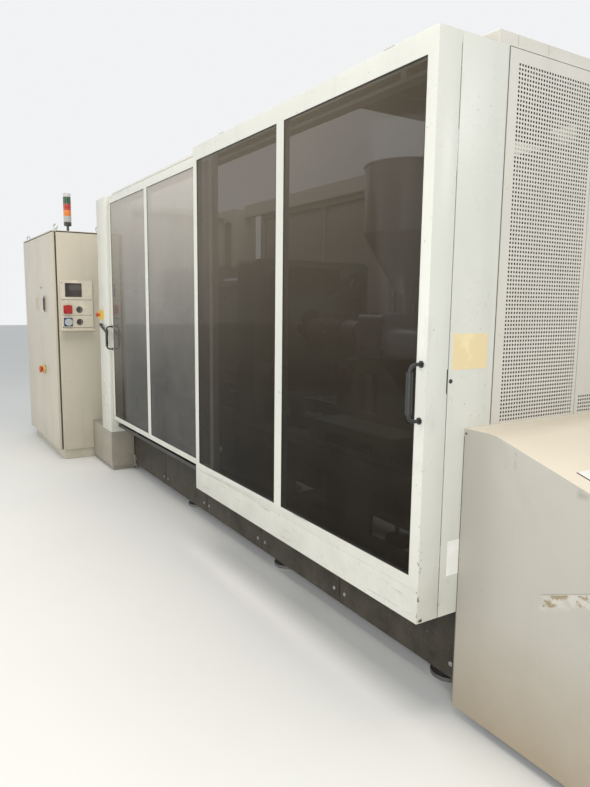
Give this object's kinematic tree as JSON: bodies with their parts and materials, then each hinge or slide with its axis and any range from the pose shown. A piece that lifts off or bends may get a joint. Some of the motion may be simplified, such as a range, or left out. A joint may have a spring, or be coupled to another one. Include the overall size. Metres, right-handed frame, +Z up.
{
  "type": "injection moulding machine",
  "caption": "Horizontal injection moulding machine with glazed sliding guard doors on twin rails, perforated end panel, sloped end hood and a separate control cabinet.",
  "frame": {"origin": "on the floor under the middle of the whole machine's box", "axes": "+X towards the injection end with its hood, -Y towards the operator's side with the cabinet doors, +Z up"},
  "size_m": [7.4, 2.028, 2.61],
  "materials": {
    "bed_grey": "satin",
    "foot_steel": "satin",
    "skirt_grey": "satin",
    "guard_white": "satin",
    "vent_cream": "satin",
    "hood_grey": "satin",
    "tank_grey": "satin",
    "motor_blue": "satin",
    "rail_steel": "satin",
    "dark_pane": "gloss",
    "grey_pane": "gloss",
    "black_plastic": "matte",
    "bright_steel": "polished",
    "cast_green": "painted",
    "machined_steel": "satin",
    "barrel_steel": "satin",
    "hopper_steel": "brushed",
    "cabinet_beige": "satin",
    "seal_black": "matte",
    "module_grey": "matte",
    "unit_beige": "matte",
    "stop_yellow": "gloss",
    "stop_red": "gloss",
    "beacon_plastic": "gloss"
  },
  "bodies": {
    "machine": {"bed_sides": "bed_grey", "bed_ribs": "bed_grey", "levelling_feet": "foot_steel", "base_panels": "skirt_grey", "base_box": "cabinet_beige", "oil_tank": "tank_grey", "pump_motor": "motor_blue", "oil_pump": "machined_steel", "end_hood": "hood_grey", "far_end_frame": "guard_white", "near_columns": "guard_white", "guard_cross_rails": "guard_white", "vent_panels": "vent_cream", "roof_cover": "vent_cream", "door_rails": "rail_steel", "rear_panel": "guard_white", "fixed_platen": "cast_green", "tie_bars": "bright_steel", "cylinder_platen": "cast_green", "clamp_cylinder": "cast_green", "slideways": "machined_steel", "cabinet_body": "cabinet_beige", "cabinet_gasket": "seal_black", "mounting_plate": "module_grey", "socket_unit": "unit_beige", "beacon": "beacon_plastic", "lifting_eyes": "machined_steel", "column_stop_box": "stop_yellow"},
    "near_door": {"near_door_frame": "guard_white", "near_door_panes": "dark_pane", "near_door_handle": "black_plastic", "near_door_carriers": "rail_steel"},
    "far_door": {"far_door_frame": "guard_white", "far_door_panes": "grey_pane", "far_door_handle": "black_plastic", "far_door_carriers": "rail_steel"},
    "rear_door": {"rear_door_frame": "guard_white", "rear_door_panes": "grey_pane", "rear_door_handle": "black_plastic", "rear_door_carriers": "rail_steel"},
    "latch": {"door_latch": "black_plastic"},
    "platen": {"moving_platen": "cast_green", "clamp_ram": "bright_steel"},
    "ejector": {"ejector_plate": "machined_steel"},
    "carriage": {"injection_carriage": "cast_green", "feed_block": "machined_steel", "barrel": "barrel_steel", "nozzle": "machined_steel", "heater_bands": "hopper_steel", "hopper": "hopper_steel", "injection_cylinders": "machined_steel"},
    "lid": {"hopper_lid": "hopper_steel"},
    "crosshead": {"injection_crosshead": "cast_green", "screw_motor": "motor_blue"},
    "plasticising_screw": {"screw": "machined_steel"},
    "right_cabinet_door": {"cabinet_right_door": "cabinet_beige"},
    "left_cabinet_door": {"cabinet_left_door": "cabinet_beige"},
    "column_stop_head": {"column_stop": "stop_red"},
    "cabinet_stop_head": {"cabinet_stop": "stop_red"},
    "flap": {"socket_flap": "stop_red"}
  },
  "joints": [
    {"name": "near_door_slide", "type": "slide", "parent": "machine", "child": "near_door", "axis": [-1, 0, 0], "range_m": [0, 1.9]},
    {"name": "far_door_slide", "type": "slide", "parent": "machine", "child": "far_door", "axis": [1, 0, 0], "range_m": [0, 1.9]},
    {"name": "rear_door_slide", "type": "slide", "parent": "machine", "child": "rear_door", "axis": [1, 0, 0], "range_m": [0, 1.9]},
    {"name": "latch_turn", "type": "hinge", "parent": "machine", "child": "latch", "pos_m": [-1.65, -0.6535, 1.36], "axis": [0, 1, 0], "range_deg": [0, 40]},
    {"name": "platen_slide", "type": "slide", "parent": "machine", "child": "platen", "axis": [1, 0, 0], "range_m": [0, 0.45]},
    {"name": "ejector_slide", "type": "slide", "parent": "platen", "child": "ejector", "axis": [1, 0, 0], "range_m": [0, 0.12]},
    {"name": "carriage_slide", "type": "slide", "parent": "machine", "child": "carriage", "axis": [1, 0, 0], "range_m": [0, 0.25]},
    {"name": "lid_hinge", "type": "hinge", "parent": "carriage", "child": "lid", "pos_m": [1.42, 0.114, 2.3063], "axis": [0, -1, 0], "range_deg": [0, 95]},
    {"name": "crosshead_slide", "type": "slide", "parent": "carriage", "child": "crosshead", "axis": [1, 0, 0], "range_m": [0, 0.2]},
    {"name": "screw_turn", "type": "hinge", "parent": "crosshead", "child": "plasticising_screw", "pos_m": [1.67, 0.114, 1.4], "axis": [1, 0, 0], "continuous": true},
    {"name": "right_cabinet_hinge", "type": "hinge", "parent": "machine", "child": "right_cabinet_door", "pos_m": [-2.158, -0.9415, 1.1], "axis": [0, 0, 1], "range_deg": [0, 110]},
    {"name": "left_cabinet_hinge", "type": "hinge", "parent": "machine", "child": "left_cabinet_door", "pos_m": [-3.692, -0.9415, 1.1], "axis": [0, 0, -1], "range_deg": [0, 110]},
    {"name": "column_stop_press", "type": "slide", "parent": "machine", "child": "column_stop_head", "axis": [0, 1, 0], "range_m": [0, 0.006], "stiffness_N_per_m": 1500},
    {"name": "cabinet_stop_press", "type": "slide", "parent": "right_cabinet_door", "child": "cabinet_stop_head", "axis": [0, 1, 0], "range_m": [0, 0.006], "stiffness_N_per_m": 1500},
    {"name": "flap_hinge", "type": "hinge", "parent": "machine", "child": "flap", "pos_m": [-2.078, -0.836, 1.53], "axis": [0, -1, 0], "range_deg": [0, 100], "stiffness_Nm_per_rad": 0.02, "springref_deg": -28.65}
  ]
}
